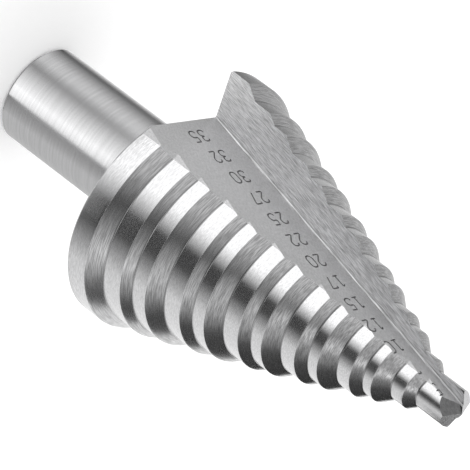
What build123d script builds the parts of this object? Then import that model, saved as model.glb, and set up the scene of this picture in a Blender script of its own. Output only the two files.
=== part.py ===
"""A two-flute step drill for sheet metal, turned, fluted and relief-ground from one bar of tool steel.

Millimetres. The drill stands on its shank end: the origin is the centre of that end,
+Z runs along the axis to the point, and the two rows of cutting edges lie over +X and -X.
"""

from build123d import *
from math import cos, radians, sin, tan
import os

# The sizes that the drill cuts, one step each, from the shank to the point
step_diameters = [35, 32, 30, 27, 25, 22, 20, 17, 15, 12, 10, 7, 5]

# Shank
shank_diameter = 13.0
shank_length = 24.0
shank_chamfer = 0.5

# Steps along the axis: the chamfers are cones, and the pitch shortens evenly towards the point
rear_land_length = 3.2
first_pitch = 4.0
last_pitch = 3.1
tip_land_length = 4.2
chamfer_half_angle = 40.0
cove_radius = 0.35
rear_edge_chamfer = 0.3

# Relief behind each cutting edge: a true land, then an eccentric arc down to the heel
land_arc = 57.0
relief_ratio = 0.805
heel_arc = 95.0
edge_lead = 12.0

# The two V flutes: one straight root line that nears the axis towards the point
rake_angle = 10.0
flute_angle = 85.0
root_angle = -6.6
root_radius_rear = 10.7
root_radius_tip = 0.45
flute_fillet = 1.0

# Point: two flanks, thinned at the centre by two gashes
point_angle = 135.0
lip_relief = 15.0
gash_angle = 130.0
gash_run = 42.0
gash_offset = 0.12

# Half-height of the slice that an edge or face is looked for in
slice_height = 0.01

os.makedirs("parts", exist_ok=True)

radii = [diameter / 2 for diameter in step_diameters]
last = len(radii) - 1


def chamfer_length(step):
    """Axial length of the cone that leads from one step down to the next."""
    return (radii[step] - radii[step + 1]) / tan(radians(chamfer_half_angle))


def land_starts():
    """Height at which each step's land begins, from the widest step up."""
    starts = [shank_length, shank_length + rear_land_length + chamfer_length(0)]
    for step in range(1, last):
        shortening = (first_pitch - last_pitch) * (step - 1) / (last - 2)
        starts.append(starts[-1] + first_pitch - shortening)
    return starts


starts = land_starts()
tip_corner = starts[last] + tip_land_length
tip_height = tip_corner + radii[last] / tan(radians(point_angle / 2))
reach = 2 * radii[0]


def lobe_section(radius, height):
    """Both lobes of one section: each runs back from its cutting edge to its heel."""
    with BuildSketch(Plane.XY.offset(height)) as section:
        with BuildLine():
            for turn in (0, 180):
                CenterArc((0, 0), radius, turn + edge_lead, -(edge_lead + land_arc))
                relief_start = turn - land_arc
                centre = Vector(radius * (1 - relief_ratio), 0).rotate(Axis.Z, relief_start)
                heel = CenterArc(centre, radius * relief_ratio, relief_start, -heel_arc)
                Line(heel @ 1, Vector(radius, 0).rotate(Axis.Z, turn - 180 + edge_lead))
        make_face()
    return section.sketch


def step_sections():
    """One section at each end of every land: the cones lie between them."""
    sections = []
    for step, radius in enumerate(radii):
        if step == 0:
            land_end = starts[0] + rear_land_length
        elif step == last:
            land_end = tip_height
        else:
            land_end = starts[step + 1] - chamfer_length(step)
        sections.append(lobe_section(radius, starts[step]))
        sections.append(lobe_section(radius, land_end))
    return sections


with BuildPart() as flute:
    root_rear = Vector(root_radius_rear, 0).rotate(Axis.Z, root_angle)
    root_tip = Vector(root_radius_tip, 0, tip_height - shank_length).rotate(Axis.Z, root_angle)
    rake_wall = Vector(reach, 0).rotate(Axis.Z, rake_angle)
    number_wall = Vector(reach, 0).rotate(Axis.Z, rake_angle + flute_angle)
    with BuildSketch(Plane.XY.offset(shank_length)) as flute_section:
        with BuildLine():
            Polyline(
                root_rear,
                root_rear + rake_wall,
                root_rear + rake_wall + number_wall,
                root_rear + number_wall,
                close=True,
            )
        make_face()
        corner = flute_section.vertices().sort_by_distance(root_rear + Vector(0, 0, shank_length))[0]
        fillet(corner, flute_fillet)
    extrude(amount=tip_height, dir=root_tip - root_rear, both=True)

# The flank behind the +X lip: it falls away from the centre to the corner and back from the lip
flank_fall = tan(radians(90 - point_angle / 2))
flank_back = tan(radians(lip_relief))
flank_plane = Plane(
    origin=(0, 0, tip_height),
    x_dir=(1, 0, -flank_fall),
    z_dir=(flank_fall, -flank_back, 1),
)
with BuildPart(flank_plane) as flank:
    Box(reach, reach, reach, align=(Align.CENTER, Align.CENTER, Align.MIN))

# The gash thins the chisel edge: it runs down along the front of the +X lip
run_down = Vector(cos(radians(gash_run)), 0, -sin(radians(gash_run)))
gash_plane = Plane(origin=(0, gash_offset, tip_height), x_dir=(0, 1, 0), z_dir=run_down)
floor_angle = radians(90 - gash_angle)
with BuildPart() as gash:
    with BuildSketch(gash_plane):
        with BuildLine():
            Polyline(
                (0, 0),
                (radii[0] * cos(floor_angle), radii[0] * sin(floor_angle)),
                (radii[0] * cos(floor_angle), radii[0]),
                (0, radii[0]),
                close=True,
            )
        make_face()
    extrude(amount=reach, both=True)

with BuildPart() as step_drill:
    with BuildSketch():
        Circle(shank_diameter / 2)
    extrude(amount=shank_length + rear_land_length)
    shank_end = step_drill.edges().sort_by(Axis.Z)[0]
    chamfer(shank_end, shank_chamfer)

    loft(step_sections(), ruled=True)
    with PolarLocations(0, 2):
        add(flute.part, mode=Mode.SUBTRACT)

    for start in starts[1:]:
        crease = step_drill.edges().filter_by(GeomType.CIRCLE)
        fillet(crease.filter_by_position(Axis.Z, start - slice_height, start + slice_height), cove_radius)

    rear_arcs = step_drill.edges().filter_by(GeomType.CIRCLE).filter_by_position(
        Axis.Z, shank_length - slice_height, shank_length + slice_height
    )
    rear_rim = rear_arcs.filter_by(lambda edge: edge.radius > shank_diameter / 2 + slice_height)
    chamfer(rear_rim, rear_edge_chamfer)

    with PolarLocations(0, 2):
        add(flank.part, mode=Mode.SUBTRACT)
        add(gash.part, mode=Mode.SUBTRACT)

step_drill.part.label = "step_drill"
export_step(step_drill.part, "parts/step_drill.step")
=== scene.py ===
from math import atan2, cos, pi, radians, sin, sqrt, tan

import bmesh
import bpy
from mathutils import Matrix, Vector


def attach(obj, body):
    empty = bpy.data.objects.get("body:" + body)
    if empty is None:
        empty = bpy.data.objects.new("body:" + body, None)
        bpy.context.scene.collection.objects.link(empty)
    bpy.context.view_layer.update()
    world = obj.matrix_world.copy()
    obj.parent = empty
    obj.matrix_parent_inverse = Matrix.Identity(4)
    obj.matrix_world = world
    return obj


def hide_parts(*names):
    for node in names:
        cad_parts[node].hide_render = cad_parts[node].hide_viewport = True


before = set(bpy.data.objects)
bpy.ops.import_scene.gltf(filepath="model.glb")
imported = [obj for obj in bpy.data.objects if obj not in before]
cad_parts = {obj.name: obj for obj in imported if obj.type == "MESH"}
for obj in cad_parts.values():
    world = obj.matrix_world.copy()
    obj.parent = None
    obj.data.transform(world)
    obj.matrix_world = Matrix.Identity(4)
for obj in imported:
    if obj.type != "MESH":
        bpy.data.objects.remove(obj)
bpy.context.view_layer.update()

# The camera stands on the point's side of the drill and looks down its flute: a long lens, a little
# over half a metre away, turned on its side so that the point lies at the lower right of the frame.
mm = 0.001
rear_height = 24.0
frame_pixels = 470
pixels_per_mm = 8.18
sensor_width = 36.0
view_distance = 550.0
nearest_seen = 10.0
axis_in_frame = radians(37.15)
axis_to_viewer = radians(28.95)
drill_turn = radians(22.5)
# Where the middle of the rear face lies, right of and above the middle of the frame
rear_in_frame = Vector((-7.8, 5.12, 0))

to_point = Vector((
    cos(axis_to_viewer) * cos(axis_in_frame),
    -cos(axis_to_viewer) * sin(axis_in_frame),
    sin(axis_to_viewer),
))
across = Vector((sin(axis_in_frame), cos(axis_in_frame), 0))
upward = to_point.cross(across)
drill_x = across * cos(drill_turn) + upward * sin(drill_turn)
drill_y = upward * cos(drill_turn) - across * sin(drill_turn)
# The rows of this matrix are the drill's own axes as the camera sees them
turn_to_drill = Matrix((drill_x, drill_y, to_point))
rear_to_camera = turn_to_drill @ (Vector((0, 0, view_distance)) - rear_in_frame)
camera_place = rear_to_camera + Vector((0, 0, rear_height))

camera_data = bpy.data.cameras.new("camera")
camera_data.sensor_width = sensor_width
camera_data.lens = sensor_width * pixels_per_mm * view_distance / frame_pixels
camera_data.clip_start = nearest_seen * mm
camera = bpy.data.objects.new("camera", camera_data)
camera.matrix_world = Matrix.Translation(camera_place * mm) @ turn_to_drill.to_4x4()
bpy.context.collection.objects.link(camera)
bpy.context.scene.camera = camera
bpy.context.scene.view_settings.view_transform = "Standard"

# The drill: one bar of tool steel, turned to steps, relief-ground behind each edge, cut with two
# straight flutes and ground to a split point. It is one piece, so it is one mesh and one body.
step_diameters = [35, 32, 30, 27, 25, 22, 20, 17, 15, 12, 10, 7, 5]
shank_radius = 6.5
shank_chamfer = 0.5
# Along the axis: the chamfers are cones, and the pitch shortens evenly towards the point
rear_land_length = 3.2
first_pitch = 4.0
last_pitch = 3.1
tip_land_length = 4.2
chamfer_half_angle = radians(40)
cove_radius = 0.35
edge_round = 0.04
rear_edge_chamfer = 0.3
# Behind each cutting edge: a true land, an eccentric relief, and a small bevel at the heel
land_arc = radians(57)
relief_ratio = 0.805
heel_arc = radians(83)
heel_bevel_angle = radians(134)
least_bevel = 0.03
# The two V flutes: a straight root that nears the axis towards the point, a cutting wall and a wide
# wall that bears the numbers
rake_angle = radians(11.6)
number_angle = radians(94.6)
root_angle = radians(-9.3)
root_radius_rear = 10.95
root_radius_tip = 0.7
flute_fillet = 0.25
# The point: two flanks, thinned in the middle by two gashes
point_half_angle = radians(67.5)
lip_relief = radians(15)
gash_angle = radians(119)
gash_run = radians(44)
gash_offset = 0.12

radii = [diameter / 2 for diameter in step_diameters]
last = len(radii) - 1


def chamfer_length(step):
    """How far along the axis the cone runs from one step to the next."""
    return (radii[step] - radii[step + 1]) / tan(chamfer_half_angle)


starts = [rear_height, rear_height + rear_land_length + chamfer_length(0)]
for step in range(1, last):
    starts.append(starts[-1] + first_pitch - (first_pitch - last_pitch) * (step - 1) / (last - 2))
tip_height = starts[last] + tip_land_length + radii[last] / tan(point_half_angle)

# Rows of the mesh along the axis on each surface, and how far they run on above the point
land_rows = 6
edge_rows = 3
cone_rows = 6
cove_rows = 6
tip_rows = 12
above_point = 1.0


def turned_profile():
    """(radius, height, finish) rows from the rear face to above the point, edges and coves rounded."""
    rows = [
        (radii[0] - rear_edge_chamfer, rear_height, "land"),
        (radii[0], rear_height + rear_edge_chamfer, "land"),
    ]
    cove_tangent = cove_radius * tan(chamfer_half_angle / 2)
    edge_tangent = edge_round * tan(chamfer_half_angle / 2)
    for step in range(last):
        land_end = starts[step + 1] - chamfer_length(step)
        land_start = rows[-1][1]
        land_rise = land_end - edge_tangent - land_start
        for k in range(1, land_rows + 1):
            rows.append((radii[step], land_start + land_rise * k / land_rows, "land"))
        # The rounded front edge rows get a lighter grey than the lands: a painted glint
        for k in range(1, edge_rows + 1):
            turn = chamfer_half_angle * k / edge_rows
            rows.append((
                radii[step] - edge_round * (1 - cos(turn)),
                land_end - edge_tangent + edge_round * sin(turn),
                "edge",
            ))
        cone_top = rows[-1]
        cove_low = (
            radii[step + 1] + cove_tangent * sin(chamfer_half_angle),
            starts[step + 1] - cove_tangent * cos(chamfer_half_angle),
        )
        for k in range(1, cone_rows + 1):
            share = k / cone_rows
            rows.append((
                cone_top[0] + (cove_low[0] - cone_top[0]) * share,
                cone_top[1] + (cove_low[1] - cone_top[1]) * share,
                "cone",
            ))
        # The cove rows get a darker grey than the lands: painted shade in the crease
        for k in range(1, cove_rows + 1):
            turn = chamfer_half_angle * (1 - k / cove_rows)
            rows.append((
                radii[step + 1] + cove_radius * (1 - cos(turn)),
                starts[step + 1] + cove_tangent - cove_radius * sin(turn),
                "cove_painted_shade",
            ))
    land_start = rows[-1][1]
    land_rise = tip_height + above_point - land_start
    for k in range(1, tip_rows + 1):
        rows.append((radii[last], land_start + land_rise * k / tip_rows, "land"))
    return rows


def flute_root(height):
    """Where the two walls of the +X flute would meet, at a height."""
    share = (height - rear_height) / (tip_height - rear_height)
    radius = root_radius_rear + (root_radius_tip - root_radius_rear) * share
    return Vector((radius * cos(root_angle), radius * sin(root_angle)))


def wall_meets_circle(start, angle, centre, radius):
    """Where a flute wall, leaving its root at an angle, comes out through a circle."""
    way = Vector((cos(angle), sin(angle)))
    offset = start - centre
    along = offset.dot(way)
    return start + way * (sqrt(along * along - offset.dot(offset) + radius * radius) - along)


def lines_meet(start, angle, other_start, other_angle):
    """Where a line from one point, at an angle, crosses a line from another."""
    way = Vector((cos(angle), sin(angle)))
    other_way = Vector((cos(other_angle), sin(other_angle)))
    return start + way * (other_start - start).cross(other_way) / way.cross(other_way)


# Columns of the mesh round the section on each surface
land_columns = 40
relief_columns = 40
wall_columns = 14
fillet_columns = 8


def half_section(radius, height):
    """Half of a section: a lobe from its cutting edge to its heel, then the next flute's two walls."""
    root = flute_root(height)
    points = []
    edge = wall_meets_circle(root, rake_angle, Vector((0, 0)), radius)
    edge_angle = atan2(edge.y, edge.x)
    for k in range(land_columns):
        angle = edge_angle + (-land_arc - edge_angle) * k / land_columns
        points.append((Vector((radius * cos(angle), radius * sin(angle))), "round"))
    centre = Vector((cos(land_arc), -sin(land_arc))) * radius * (1 - relief_ratio)
    heel = wall_meets_circle(-root, number_angle + pi, centre, radius * relief_ratio)
    heel_angle = atan2((heel - centre).y, (heel - centre).x) + least_bevel / radius
    bevel_angle = max(heel_angle, -land_arc - heel_arc)
    for k in range(relief_columns + 1):
        angle = -land_arc + (bevel_angle + land_arc) * k / relief_columns
        way = Vector((cos(angle), sin(angle)))
        points.append((centre + way * radius * relief_ratio, "round"))
    corner = points.pop()[0]
    points.append((corner, "number"))
    if bevel_angle > heel_angle:
        heel = lines_meet(corner, heel_bevel_angle, -root, number_angle + pi)
    half_angle = (number_angle - rake_angle) / 2
    tangent = flute_fillet / tan(half_angle)
    number_start = -root + Vector((cos(number_angle + pi), sin(number_angle + pi))) * tangent
    rake_start = -root + Vector((cos(rake_angle + pi), sin(rake_angle + pi))) * tangent
    for k in range(wall_columns):
        points.append((heel + (number_start - heel) * k / wall_columns, "number"))
    middle = pi + (number_angle + rake_angle) / 2
    fillet_centre = -root + Vector((cos(middle), sin(middle))) * flute_fillet / sin(half_angle)
    fillet_start = number_angle + pi + pi / 2
    for k in range(fillet_columns):
        angle = fillet_start + (pi - 2 * half_angle) * k / fillet_columns
        points.append((fillet_centre + Vector((cos(angle), sin(angle))) * flute_fillet, "root"))
    next_edge = -edge
    for k in range(wall_columns):
        points.append((rake_start + (next_edge - rake_start) * k / wall_columns, "rake"))
    return points


def fluted_body():
    """The stepped cone with its flutes, open at the rear: its mesh, its rear rim and each face's finish."""
    body = bmesh.new()
    finishes = []
    loops = []
    for radius, height, finish in turned_profile():
        half = half_section(radius, height)
        loop = [body.verts.new((p.x * mm, p.y * mm, height * mm)) for p, _ in half]
        loop += [body.verts.new((-p.x * mm, -p.y * mm, height * mm)) for p, _ in half]
        loops.append((loop, finish))
        columns = [kind for _, kind in half] * 2
    count = len(columns)
    for (low, _), (high, finish) in zip(loops, loops[1:]):
        for k in range(count):
            face = body.faces.new((low[k], high[k], high[(k + 1) % count], low[(k + 1) % count]))
            finishes.append((face, finish if columns[k] == "round" else columns[k]))
    finishes.append((body.faces.new(loops[-1][0]), "flank_painted_light"))
    return body, loops[0][0], finishes


root_low = flute_root(rear_height)
root_high = flute_root(tip_height)
root_way = Vector((root_high.x - root_low.x, root_high.y - root_low.y, tip_height - rear_height))

grain_detail = 4
# The part of the noise that runs from the dark grey to the light one
grain_spread = (0.35, 0.65)
# A way out through the seen flute, which tells its side of the drill from the other
flute_side = radians(52)
steel_blue = 1.01


def grey(value):
    """The grey of bare steel, a trace on the blue side."""
    return (value, value, value * steel_blue)


def grain(tree, place):
    """Noise at a place that is already drawn out into lines."""
    noise = tree.nodes.new("ShaderNodeTexNoise")
    noise.inputs["Scale"].default_value = 1
    noise.inputs["Detail"].default_value = grain_detail
    tree.links.new(place, noise.inputs["Vector"])
    return noise.outputs["Fac"]


def lines_around(tree, spacing, length):
    """Lines round the drill's axis, as turning leaves: length is a share of the radius."""
    place = tree.nodes.new("ShaderNodeTexCoord")
    split = tree.nodes.new("ShaderNodeSeparateXYZ")
    tree.links.new(place.outputs["Object"], split.inputs[0])
    flat = tree.nodes.new("ShaderNodeCombineXYZ")
    tree.links.new(split.outputs["X"], flat.inputs["X"])
    tree.links.new(split.outputs["Y"], flat.inputs["Y"])
    round_way = tree.nodes.new("ShaderNodeVectorMath")
    round_way.operation = "NORMALIZE"
    tree.links.new(flat.outputs[0], round_way.inputs[0])
    stretch = tree.nodes.new("ShaderNodeVectorMath")
    stretch.operation = "SCALE"
    stretch.inputs["Scale"].default_value = 1 / length
    tree.links.new(round_way.outputs[0], stretch.inputs[0])
    scaled = tree.nodes.new("ShaderNodeMath")
    scaled.operation = "MULTIPLY"
    scaled.inputs[1].default_value = 1 / (spacing * mm)
    tree.links.new(split.outputs["Z"], scaled.inputs[0])
    rise = tree.nodes.new("ShaderNodeCombineXYZ")
    tree.links.new(scaled.outputs[0], rise.inputs["Z"])
    both = tree.nodes.new("ShaderNodeVectorMath")
    both.operation = "ADD"
    tree.links.new(stretch.outputs[0], both.inputs[0])
    tree.links.new(rise.outputs[0], both.inputs[1])
    return grain(tree, both.outputs[0])


def lines_along(tree, spacing, length):
    """Lines along the flute's root, as a wheel leaves that runs the flute's length."""
    place = tree.nodes.new("ShaderNodeTexCoord")
    side = tree.nodes.new("ShaderNodeVectorMath")
    side.operation = "DOT_PRODUCT"
    side.inputs[1].default_value = (cos(flute_side), sin(flute_side), 0)
    tree.links.new(place.outputs["Object"], side.inputs[0])
    sign = tree.nodes.new("ShaderNodeMath")
    sign.operation = "SIGN"
    tree.links.new(side.outputs["Value"], sign.inputs[0])
    mirror = tree.nodes.new("ShaderNodeCombineXYZ")
    mirror.inputs["Z"].default_value = 1
    tree.links.new(sign.outputs[0], mirror.inputs["X"])
    tree.links.new(sign.outputs[0], mirror.inputs["Y"])
    same_side = tree.nodes.new("ShaderNodeVectorMath")
    same_side.operation = "MULTIPLY"
    tree.links.new(place.outputs["Object"], same_side.inputs[0])
    tree.links.new(mirror.outputs[0], same_side.inputs[1])
    way = root_way.normalized()
    sideways = way.cross(Vector((0, 0, 1)).cross(way)).normalized()
    over = way.cross(sideways)
    parts = tree.nodes.new("ShaderNodeCombineXYZ")
    for axis, direction, scale in (("X", sideways, spacing), ("Y", over, spacing), ("Z", way, length)):
        part = tree.nodes.new("ShaderNodeVectorMath")
        part.operation = "DOT_PRODUCT"
        part.inputs[1].default_value = direction / (scale * mm)
        tree.links.new(same_side.outputs[0], part.inputs[0])
        tree.links.new(part.outputs["Value"], parts.inputs[axis])
    return grain(tree, parts.outputs[0])


def spread(tree, value, low_colour, high_colour):
    """The noise spread between two greys."""
    ramp = tree.nodes.new("ShaderNodeValToRGB")
    for stop, position, colour in zip(ramp.color_ramp.elements, grain_spread, (low_colour, high_colour)):
        stop.position = position
        stop.color = (*colour, 1)
    tree.links.new(value, ramp.inputs[0])
    return ramp.outputs["Color"]


def unevenness(tree, shader, value, depth):
    """The lines as a slight unevenness of the surface."""
    bump = tree.nodes.new("ShaderNodeBump")
    bump.inputs["Strength"].default_value = 1
    bump.inputs["Distance"].default_value = depth * mm
    tree.links.new(value, bump.inputs["Height"])
    tree.links.new(bump.outputs["Normal"], shader.inputs["Normal"])


def ground_finish(name, lines, spacing, length, dark, light, smooth, rough, depth):
    """Bare steel with lines in its colour, its gloss and, where they have a depth, its surface."""
    finish = bpy.data.materials.new(name)
    finish.use_nodes = True
    tree = finish.node_tree
    shader = tree.nodes["Principled BSDF"]
    shader.inputs["Base Color"].default_value = (*grey(light), 1)
    shader.inputs["Metallic"].default_value = 1
    shader.inputs["Roughness"].default_value = smooth
    value = lines(tree, spacing, length)
    tree.links.new(spread(tree, value, grey(dark), grey(light)), shader.inputs["Base Color"])
    tree.links.new(spread(tree, value, (rough,) * 3, (smooth,) * 3), shader.inputs["Roughness"])
    if depth:
        unevenness(tree, shader, value, depth)
    return finish


# Each surface's lines with their spacing and length, its dark and light grey, its roughness where
# light and where dark, and the depth of its lines in mm
surfaces = {
    "land": (lines_around, 0.12, 0.04, 0.55, 0.68, 0.16, 0.22, 0.0015),
    # edge: the rounded front corner of each land, a lighter grey than the land: a painted glint
    "edge": (lines_around, 0.2, 0.5, 0.7, 0.75, 0.2, 0.25, 0),
    "cone": (lines_around, 0.08, 0.12, 0.36, 0.68, 0.18, 0.28, 0.0012),
    # cove: the concave crease below each chamfer, a darker grey than the land: painted shade
    "cove_painted_shade": (lines_around, 0.15, 0.3, 0.22, 0.42, 0.2, 0.3, 0.002),
    "number": (lines_along, 0.13, 0.3, 0.48, 0.6, 0.45, 0.55, 0.001),
    "root": (lines_along, 0.1, 2.5, 0.28, 0.68, 0.3, 0.4, 0.002),
    "rake": (lines_along, 0.06, 1.3, 0.4, 0.98, 0.28, 0.4, 0.003),
    "rear": (lines_around, 0.1, 0.5, 0.5, 0.6, 0.25, 0.35, 0.004),
    "shank": (lines_around, 0.3, 1.5, 0.57, 0.62, 0.22, 0.26, 0),
    # flank: the same ground steel as the gash, a lighter grey: painted light on the lit facet
    "flank_painted_light": (lines_along, 0.2, 1, 0.7, 0.8, 0.25, 0.35, 0.004),
    # gash: the same ground steel as the flank, a far darker grey: painted shade on the facet
    "gash_painted_shade": (lines_along, 0.2, 1, 0.15, 0.21, 0.25, 0.35, 0.004),
    "digit": (lines_along, 0.3, 1, 0.16, 0.2, 0.5, 0.6, 0),
}
steel_finishes = [ground_finish(name, *look) for name, look in surfaces.items()]
finish_names = list(surfaces)

# The shank is turned from the same bar: plain and round, from the rear face to its chamfered end
shank_columns = 128
shank_profile = [
    (shank_radius, rear_height),
    (shank_radius, rear_height * 2 / 3),
    (shank_radius, rear_height / 3),
    (shank_radius, shank_chamfer),
    (shank_radius - shank_chamfer, 0),
]
body, rear_rim, finishes = fluted_body()
rings = [
    [
        body.verts.new((
            radius * cos(2 * pi * k / shank_columns) * mm,
            radius * sin(2 * pi * k / shank_columns) * mm,
            height * mm,
        ))
        for k in range(shank_columns)
    ]
    for radius, height in shank_profile
]
shank_top = rings[0]
rear_edges = [body.edges.new(pair) for pair in zip(shank_top, shank_top[1:] + shank_top[:1])]
rear_edges += [body.edges.get((rear_rim[k - 1], rear_rim[k])) for k in range(len(rear_rim))]
filled = bmesh.ops.triangle_fill(body, edges=rear_edges, use_beauty=True)
finishes += [(face, "rear") for face in filled["geom"] if isinstance(face, bmesh.types.BMFace)]
for upper, lower in zip(rings, rings[1:]):
    for k in range(shank_columns):
        following = (k + 1) % shank_columns
        face = body.faces.new((upper[k], upper[following], lower[following], lower[k]))
        finishes.append((face, "shank"))
finishes.append((body.faces.new(rings[-1]), "shank"))
bmesh.ops.recalc_face_normals(body, faces=body.faces)

for face, finish in finishes:
    face.material_index = finish_names.index(finish)
drill_mesh = bpy.data.meshes.new("step_drill_steel")
for finish in steel_finishes:
    drill_mesh.materials.append(finish)
body.to_mesh(drill_mesh)
body.free()
drill = bpy.data.objects.new("step_drill_steel", drill_mesh)
bpy.context.collection.objects.link(drill)
bpy.context.view_layer.objects.active = drill


def grind_away(cutter_mesh, finish):
    """Cuts the drill with a closed mesh: the faces that it leaves get that finish."""
    for steel in steel_finishes:
        cutter_mesh.materials.append(steel)
    for polygon in cutter_mesh.polygons:
        polygon.material_index = finish_names.index(finish)
    cutter = bpy.data.objects.new("cutter", cutter_mesh)
    bpy.context.collection.objects.link(cutter)
    cut = drill.modifiers.new("cut", "BOOLEAN")
    cut.operation = "DIFFERENCE"
    cut.solver = "EXACT"
    cut.material_mode = "INDEX"
    cut.object = cutter
    bpy.context.view_layer.update()
    result = bpy.data.meshes.new_from_object(drill.evaluated_get(bpy.context.evaluated_depsgraph_get()))
    drill.modifiers.clear()
    drill.data = result
    bpy.data.objects.remove(cutter)


def wedge(corners_low, corners_high):
    """A closed prism between two polygons with as many corners."""
    count = len(corners_low)
    sides = [(k, (k + 1) % count, count + (k + 1) % count, count + k) for k in range(count)]
    mesh = bpy.data.meshes.new("wedge")
    corners = [tuple(corner * mm) for corner in list(corners_low) + list(corners_high)]
    mesh.from_pydata(corners, [], sides + [tuple(range(count))[::-1], tuple(range(count, 2 * count))])
    prism = bmesh.new()
    prism.from_mesh(mesh)
    bmesh.ops.recalc_face_normals(prism, faces=prism.faces)
    prism.to_mesh(mesh)
    prism.free()
    return mesh


# The point is ground last: a flank behind each lip, then a gash that thins the middle before it
reach = 12.0
tip = Vector((0, 0, tip_height))
half_turns = (0, pi)
flank_fall = tan(pi / 2 - point_half_angle)
flank_back = tan(lip_relief)
flank_x = Vector((1, 0, -flank_fall)).normalized()
flank_z = Vector((flank_fall, -flank_back, 1)).normalized()
flank_y = flank_z.cross(flank_x)
square = [tip + flank_x * a * reach + flank_y * b * reach for a, b in ((-1, -1), (1, -1), (1, 1), (-1, 1))]
# The flank faces take a lighter grey than the gash faces: painted light
for turn in half_turns:
    spin = Matrix.Rotation(turn, 3, "Z")
    grind_away(wedge([spin @ p for p in square], [spin @ (p + flank_z * reach) for p in square]), "flank_painted_light")

run_down = Vector((cos(gash_run), 0, -sin(gash_run)))
gash_x = Vector((0, 1, 0))
gash_y = run_down.cross(gash_x)
floor_angle = pi / 2 - gash_angle
gash_corner = tip + Vector((0, gash_offset, 0))
floor_end = gash_x * cos(floor_angle) * reach + gash_y * sin(floor_angle) * reach
top_end = gash_x * cos(floor_angle) * reach + gash_y * reach
gash_section = [gash_corner, gash_corner + floor_end, gash_corner + top_end, gash_corner + gash_y * reach]
# The gash faces take a far darker grey than the flank faces: painted shade
for turn in half_turns:
    spin = Matrix.Rotation(turn, 3, "Z")
    low = [spin @ (p - run_down * reach) for p in gash_section]
    high = [spin @ (p + run_down * reach) for p in gash_section]
    grind_away(wedge(low, high), "gash_painted_shade")

# The sizes engraved on the flute's wide face, beside their steps: each figure is one or two lines of a
# rotary engraver, with round-bottomed strokes. A figure is a box of height 1; each point of a line
# has the radius that its corner is rounded to, and a line with no plain end closes on itself.
figure_width = 0.6
figure_height = 2.05
figure_pitch = 1.62
stroke_radius = 0.115
stroke_sides = 8
corner_turn = radians(18)
first_number_height = 26.63
number_pitch = 3.59
# How far out from the flute's root the middle of each number lies
number_out = [5.76, 5.06, 4.72, 4.43, 4.24, 4.04, 3.9, 3.66, 3.47, 3.38, 3.03, 2.74, 2.09]
figures = {
    "0": [[(0.56, 0.96, 0.25), (0.04, 0.96, 0.25), (0.04, 0.04, 0.25), (0.56, 0.04, 0.25)]],
    "1": [[(0.12, 0.8, 0), (0.32, 0.96, 0.06), (0.32, 0.04, 0)], [(0.12, 0.05, 0), (0.52, 0.05, 0)]],
    "2": [[
        (0.06, 0.74, 0), (0.06, 0.96, 0.2), (0.54, 0.96, 0.23), (0.54, 0.58, 0.25),
        (0.04, 0.04, 0.06), (0.56, 0.04, 0),
    ]],
    "3": [
        [(0.06, 0.8, 0), (0.06, 0.96, 0.15), (0.52, 0.96, 0.2), (0.52, 0.55, 0.2), (0.24, 0.55, 0)],
        [(0.27, 0.53, 0), (0.56, 0.53, 0.24), (0.56, 0.04, 0.24), (0.05, 0.04, 0.17), (0.05, 0.23, 0)],
    ],
    "5": [[
        (0.54, 0.96, 0), (0.12, 0.96, 0.06), (0.1, 0.58, 0.06), (0.56, 0.6, 0.24),
        (0.56, 0.04, 0.25), (0.05, 0.04, 0.16), (0.05, 0.22, 0),
    ]],
    "7": [[(0.05, 0.82, 0), (0.05, 0.96, 0.06), (0.57, 0.96, 0.06), (0.22, 0.04, 0)]],
}
along_wall = Vector((cos(number_angle), sin(number_angle), 0))
up_wall = (root_way - along_wall * root_way.dot(along_wall)).normalized()
out_of_wall = along_wall.cross(up_wall)


def rounded_line(corners):
    """Points and directions along a line with rounded corners, in the figure's own box."""
    line = []
    for k, (x, y, radius) in enumerate(corners):
        here = Vector((x, y))
        before = (here - Vector(corners[k - 1][:2])).normalized()
        after = (Vector(corners[(k + 1) % len(corners)][:2]) - here).normalized()
        if radius == 0:
            line.append((here, before if k else after))
            continue
        bend = before.angle_signed(after)
        reach_back = radius * tan(abs(bend) / 2)
        side = Vector((before.y, -before.x)) * (1 if bend > 0 else -1)
        centre = here - before * reach_back + side * radius
        steps = max(2, round(abs(bend) / corner_turn))
        for j in range(steps + 1):
            turn = Matrix.Rotation(-bend * j / steps, 2)
            line.append((centre - turn @ side * radius, turn @ before))
    return line


def groove(grooves, middle, place, line, closes):
    """One stroke of the engraver, as a closed tube along a figure's line."""
    rings = []
    for point, way in line:
        right = (point.x - figure_width / 2) * figure_height + place * figure_pitch
        centre = middle + along_wall * right + up_wall * (point.y - 0.5) * figure_height
        side = along_wall * way.y - up_wall * way.x
        ring = []
        for k in range(stroke_sides):
            angle = 2 * pi * (k + 0.5) / stroke_sides
            spoke = side * cos(angle) + out_of_wall * sin(angle)
            ring.append(grooves.verts.new((centre + spoke * stroke_radius) * mm))
        rings.append(ring)
    for low, high in zip(rings, rings[1:] + rings[:1] if closes else rings[1:]):
        for k in range(stroke_sides):
            following = (k + 1) % stroke_sides
            grooves.faces.new((low[k], low[following], high[following], high[k]))
    if not closes:
        grooves.faces.new(rings[0])
        grooves.faces.new(rings[-1])


def engrave(layer):
    """One pass of the engraver over all the numbers: each figure's line of that layer."""
    grooves = bmesh.new()
    for row, diameter in enumerate(step_diameters):
        text = str(diameter)
        height = first_number_height + number_pitch * row
        root = flute_root(height)
        middle = Vector((root.x, root.y, height)) + along_wall * number_out[row]
        for k, figure in enumerate(text):
            if layer < len(figures[figure]):
                corners = figures[figure][layer]
                closes = corners[0][2] > 0
                groove(grooves, middle, k - (len(text) - 1) / 2, rounded_line(corners), closes)
    bmesh.ops.recalc_face_normals(grooves, faces=grooves.faces)
    cutter_mesh = bpy.data.meshes.new("grooves")
    grooves.to_mesh(cutter_mesh)
    grooves.free()
    grind_away(cutter_mesh, "digit")


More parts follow.
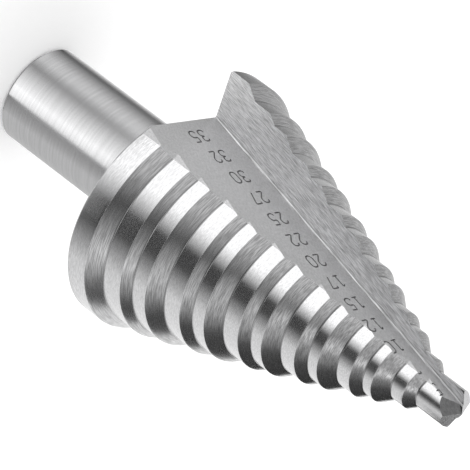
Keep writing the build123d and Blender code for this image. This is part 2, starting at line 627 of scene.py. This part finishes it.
# A figure's two lines cross, so each has a pass of its own
engrave(0)
engrave(1)

sharp_angle = radians(25)
for polygon in drill.data.polygons:
    polygon.use_smooth = True
drill.data.set_sharp_from_angle(angle=sharp_angle)
even = drill.modifiers.new("flat_faces_stay_flat", "WEIGHTED_NORMAL")
even.keep_sharp = True
even.weight = 100
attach(drill, "root")
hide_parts("step_drill")

# The stage: a floor of white paper under a white surround, one softbox, and cards from white to
# black that stand round the drill and lie about its foot, where only the steel sees them.
floor_half = 3
paper_white = 0.93
paper_own_light = 0.16
floor_mesh = bpy.data.meshes.new("floor")
floor_corners = [(x * floor_half, y * floor_half, 0) for x, y in ((-1, -1), (1, -1), (1, 1), (-1, 1))]
floor_mesh.from_pydata(floor_corners, [], [(0, 1, 2, 3)])
floor = bpy.data.objects.new("floor", floor_mesh)
bpy.context.collection.objects.link(floor)
paper = bpy.data.materials.new("floor_paper")
paper.use_nodes = True
paper_tree = paper.node_tree
paper_shader = paper_tree.nodes["Principled BSDF"]
paper_shader.inputs["Base Color"].default_value = (paper_white, paper_white, paper_white, 1)
paper_shader.inputs["Roughness"].default_value = 1
paper_shader.inputs["Specular IOR Level"].default_value = 0
paper_shader.inputs["Emission Color"].default_value = (1, 1, 1, 1)
# Seen by the camera the paper has a little light of its own, so that it shows white round its shadow
seen = paper_tree.nodes.new("ShaderNodeLightPath")
own_light = paper_tree.nodes.new("ShaderNodeMath")
own_light.operation = "MULTIPLY"
own_light.inputs[1].default_value = paper_own_light
paper_tree.links.new(seen.outputs["Is Camera Ray"], own_light.inputs[0])
paper_tree.links.new(own_light.outputs[0], paper_shader.inputs["Emission Strength"])
floor_mesh.materials.append(paper)

world = bpy.data.worlds.new("surround")
bpy.context.scene.world = world
world.use_nodes = True
world.node_tree.nodes["Background"].inputs["Color"].default_value = (1, 1, 1, 1)
world.node_tree.nodes["Background"].inputs["Strength"].default_value = 1

lit_middle = Vector((0, 0, 0.04))
lamp_data = bpy.data.lights.new("softbox", "AREA")
lamp_data.size = 0.6
lamp_data.energy = 1.5
lamp = bpy.data.objects.new("softbox", lamp_data)
lamp.location = (-0.25, -0.35, 0.8)
lamp.rotation_euler = (lit_middle - lamp.location).to_track_quat("-Z", "Y").to_euler()
bpy.context.collection.objects.link(lamp)

card_glow = bpy.data.materials.new("card_glow")
card_glow.use_nodes = True
glow_tree = card_glow.node_tree
glow_tree.nodes.remove(glow_tree.nodes["Principled BSDF"])
glow_value = glow_tree.nodes.new("ShaderNodeAttribute")
glow_value.attribute_name = "glow"
glow_light = glow_tree.nodes.new("ShaderNodeEmission")
glow_light.inputs["Color"].default_value = (1, 1, 1, 1)
glow_tree.links.new(glow_value.outputs["Fac"], glow_light.inputs["Strength"])
glow_tree.links.new(glow_light.outputs[0], glow_tree.nodes["Material Output"].inputs["Surface"])
card_pieces = 8


def card(name, rows_at, first_azimuth, last_azimuth, near_greys, far_greys=None):
    """A strip of card that only the steel sees, its greys running evenly from end to end and edge to edge."""
    corners, greys, quads = [], [], []
    for k in range(card_pieces + 1):
        share = k / card_pieces
        rows = rows_at(first_azimuth + (last_azimuth - first_azimuth) * share)
        for row, corner in enumerate(rows):
            start, end = near_greys if row < len(rows) / 2 else far_greys or near_greys
            corners.append(tuple(corner * mm))
            greys.append(start + (end - start) * share)
        if k:
            here = len(corners) - len(rows)
            quads += [(j - len(rows), j - len(rows) + 1, j + 1, j) for j in range(here, here + len(rows) - 1)]
    mesh = bpy.data.meshes.new(name)
    mesh.from_pydata(corners, [], quads)
    mesh.attributes.new("glow", "FLOAT", "POINT").data.foreach_set("value", greys)
    mesh.materials.append(card_glow)
    board = bpy.data.objects.new(name, mesh)
    bpy.context.collection.objects.link(board)
    board.visible_camera = False
    board.visible_diffuse = False
    board.visible_shadow = False
    board.visible_transmission = False
    board.visible_volume_scatter = False


# Where the cards lie and stand, in millimetres and degrees round the drill
camera_azimuth = 67
foot_lift = 0.3
foot_reach = 46
floor_lift = 0.2
floor_near = 42
floor_far = 190
sheet_distance = 75
low_sheet_height = 110
sheet_level = 97
sheet_fall = 0.54
fall_begins = 81
sheet_below = 45
least_height = 36
sheet_rows_above = (8, 60, 130)


def way_out(azimuth):
    """The level direction that leaves the drill's axis at an azimuth."""
    return Vector((cos(radians(azimuth)), sin(radians(azimuth)), 0))


def at_foot(azimuth):
    """The floor beside the shank, along one direction in which the camera's view leaves the shank."""
    foot = way_out((azimuth + camera_azimuth) / 2) * shank_radius + Vector((0, 0, foot_lift))
    return foot, foot + way_out(azimuth) * foot_reach


def on_floor(azimuth):
    """The floor round the drill, where its lands look down to."""
    lift = Vector((0, 0, floor_lift))
    return way_out(azimuth) * floor_near + lift, way_out(azimuth) * floor_far + lift


def round_drill(azimuth):
    """A tall sheet that stands close round the drill, where its chamfers look up to."""
    foot = way_out(azimuth) * sheet_distance
    low = sheet_level - sheet_fall * max(azimuth - fall_begins, 0)
    heights = [max(low - sheet_below, least_height)] + [low + above for above in sheet_rows_above]
    return [foot + Vector((0, 0, height)) for height in heights]


def beside_drill(azimuth):
    """A low sheet on the other lobe's side, where its chamfers look."""
    foot = way_out(azimuth) * sheet_distance
    return foot, foot + Vector((0, 0, low_sheet_height))


card("foot_right", at_foot, -118, -92, (1.3, 1.25))
card("foot_right_shade", at_foot, -92, -66, (0.95, 0.12))
card("foot_front_right", at_foot, -66, -16, (0.1, 0.86))
card("foot_front", at_foot, -16, 2, (0.86, 0.9))
card("foot_front_shade", at_foot, 2, 26, (0.9, 0.42))
card("foot_left_light", at_foot, 26, 84, (0.42, 1.6))
card("foot_left_white", at_foot, 84, 110, (1.75, 1.35))
card("foot_left_shade", at_foot, 111, 150, (0.32, 0.68))
card("foot_back", at_foot, 150, 237, (0.74, 0.66))
card("floor_right", on_floor, -113, -70, (0.8, 0.36))
card("floor_right_shade", on_floor, -70, -40, (0.36, 0.2))
card("floor_white", on_floor, 0, 56, (1.75, 1.65))
card("floor_fall", on_floor, 56, 87, (1.7, 0.07))
card("floor_black", on_floor, 87, 110, (0.05, 0.08))
card("floor_rise", on_floor, 110, 150, (0.08, 0.95))
card("floor_back", on_floor, 150, 215, (0.95, 1.1))
card("low_sheet", beside_drill, -100, -35, (0.75, 0.45))
card("sheet_right", round_drill, -10, 45, (0.85, 0.75), (0.8, 0.6))
card("sheet_front", round_drill, 45, 85, (0.7, 0.04), (0.6, 0.65))
card("sheet_bright", round_drill, 85, 112, (0.04, 0.35), (0.65, 1.2))
card("sheet_turn", round_drill, 112, 136, (0.35, 1.05), (1.3, 0.25))
card("sheet_back", round_drill, 136, 175, (1.05, 0.1), (0.25, 0.05))
card("sheet_black", round_drill, 175, 225, (0.1, 0.04))

bpy.context.view_layer.update()
